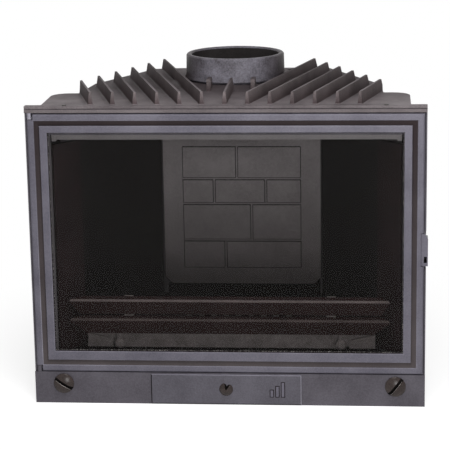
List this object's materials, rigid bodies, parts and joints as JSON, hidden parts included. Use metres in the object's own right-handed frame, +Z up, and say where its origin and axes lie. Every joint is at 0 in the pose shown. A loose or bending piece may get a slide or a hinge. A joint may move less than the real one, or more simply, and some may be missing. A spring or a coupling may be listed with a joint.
{
  "type": "fireplace insert",
  "caption": "Cast-iron closed fireplace insert with a side-hinged glazed door, finned roof with a round flue collar, log guard, air slider and tool-operated latch.",
  "frame": {"origin": "on the flue collar's vertical axis, at the underside of the base", "axes": "+X to the right seen from the front, +Y to the back, +Z up along the flue axis"},
  "size_m": [0.703, 0.4567, 0.5985],
  "materials": {
    "cast_iron_shell": "heat-resistant anthracite paint on fine sand-cast iron, matt with a soft sheen",
    "ground_cast_iron": "ground flat bands on the casting, bluish grey satin",
    "sooted_cast_iron": "dark brown-black sand-cast iron, matt",
    "fireback_cast_iron": "dark grey sand-cast iron, matt, coarse grain",
    "dark_steel": "blackened steel, satin",
    "ceramic_glass": "clear heat-resistant glass, faint brown tint",
    "glass_fibre_rope": "woven glass-fibre seal, grey with pale fibres"
  },
  "bodies": {
    "body": {"facade_frame": "cast_iron_shell", "base_tray": "cast_iron_shell", "hearth_plate": "sooted_cast_iron", "right_side_wall": "cast_iron_shell", "left_side_wall": "cast_iron_shell", "back_wall": "cast_iron_shell", "top_dome": "cast_iron_shell", "flue_collar": "cast_iron_shell", "right_liner": "sooted_cast_iron", "left_liner": "sooted_cast_iron", "fireback": "fireback_cast_iron", "baffle_plate": "sooted_cast_iron", "ash_pan": "dark_steel", "hearth_sill": "fireback_cast_iron", "airwash_deflector": "cast_iron_shell", "airwash_screw_left": "dark_steel", "airwash_screw_right": "dark_steel", "roof_screw_front_left": "dark_steel", "roof_screw_front_right": "dark_steel", "roof_screw_back_left": "dark_steel", "roof_screw_back_right": "dark_steel", "hinge_pin_bottom": "dark_steel", "hinge_pin_top": "dark_steel"},
    "door": {"door_frame": "ground_cast_iron", "door_rope": "glass_fibre_rope", "glass_gasket": "glass_fibre_rope", "door_glass": "ceramic_glass", "glass_clip_1": "dark_steel", "glass_clip_2": "dark_steel", "glass_clip_3": "dark_steel", "glass_clip_4": "dark_steel", "glass_clip_screw_1": "dark_steel", "glass_clip_screw_2": "dark_steel", "glass_clip_screw_3": "dark_steel", "glass_clip_screw_4": "dark_steel", "latch_pin": "dark_steel"},
    "latch": {"latch_lever": "cast_iron_shell"},
    "air_register": {"air_slider": "ground_cast_iron", "slider_knob": "dark_steel", "slider_retainer_left": "dark_steel", "slider_retainer_right": "dark_steel"},
    "valve_left": {"valve_disc_left": "dark_steel", "valve_retainer_left": "dark_steel"},
    "valve_right": {"valve_disc_right": "dark_steel", "valve_retainer_right": "dark_steel"},
    "log_guard": {"guard_upper_bar": "sooted_cast_iron", "guard_lower_bar": "sooted_cast_iron", "guard_post_left": "sooted_cast_iron", "guard_post_right": "sooted_cast_iron", "guard_pin_left": "fireback_cast_iron", "guard_pin_right": "fireback_cast_iron"},
    "grate": {"fire_grate": "sooted_cast_iron"}
  },
  "joints": [
    {"name": "door_hinge", "type": "hinge", "parent": "body", "child": "door", "pos_m": [-0.3419, -0.2652, 0.294], "axis": [0, 0, -1], "range_deg": [0, 110]},
    {"name": "latch_pivot", "type": "hinge", "parent": "door", "child": "latch", "pos_m": [0.3428, -0.265, 0.2875], "axis": [0, 0, -1], "range_deg": [-8, 45]},
    {"name": "air_slide", "type": "slide", "parent": "body", "child": "air_register", "axis": [1, 0, 0], "range_m": [-0.06, 0.004]},
    {"name": "valve_left_turn", "type": "hinge", "parent": "body", "child": "valve_left", "pos_m": [-0.2978, -0.27, 0.0373], "axis": [0, -1, 0], "range_deg": [0, 360]},
    {"name": "valve_right_turn", "type": "hinge", "parent": "body", "child": "valve_right", "pos_m": [0.2978, -0.27, 0.0373], "axis": [0, -1, 0], "range_deg": [0, 360]},
    {"name": "guard_lift", "type": "slide", "parent": "body", "child": "log_guard", "axis": [0, 0, 1], "range_m": [0, 0.08]},
    {"name": "grate_lift", "type": "slide", "parent": "body", "child": "grate", "axis": [0, 0, 1], "range_m": [0, 0.06]}
  ]
}
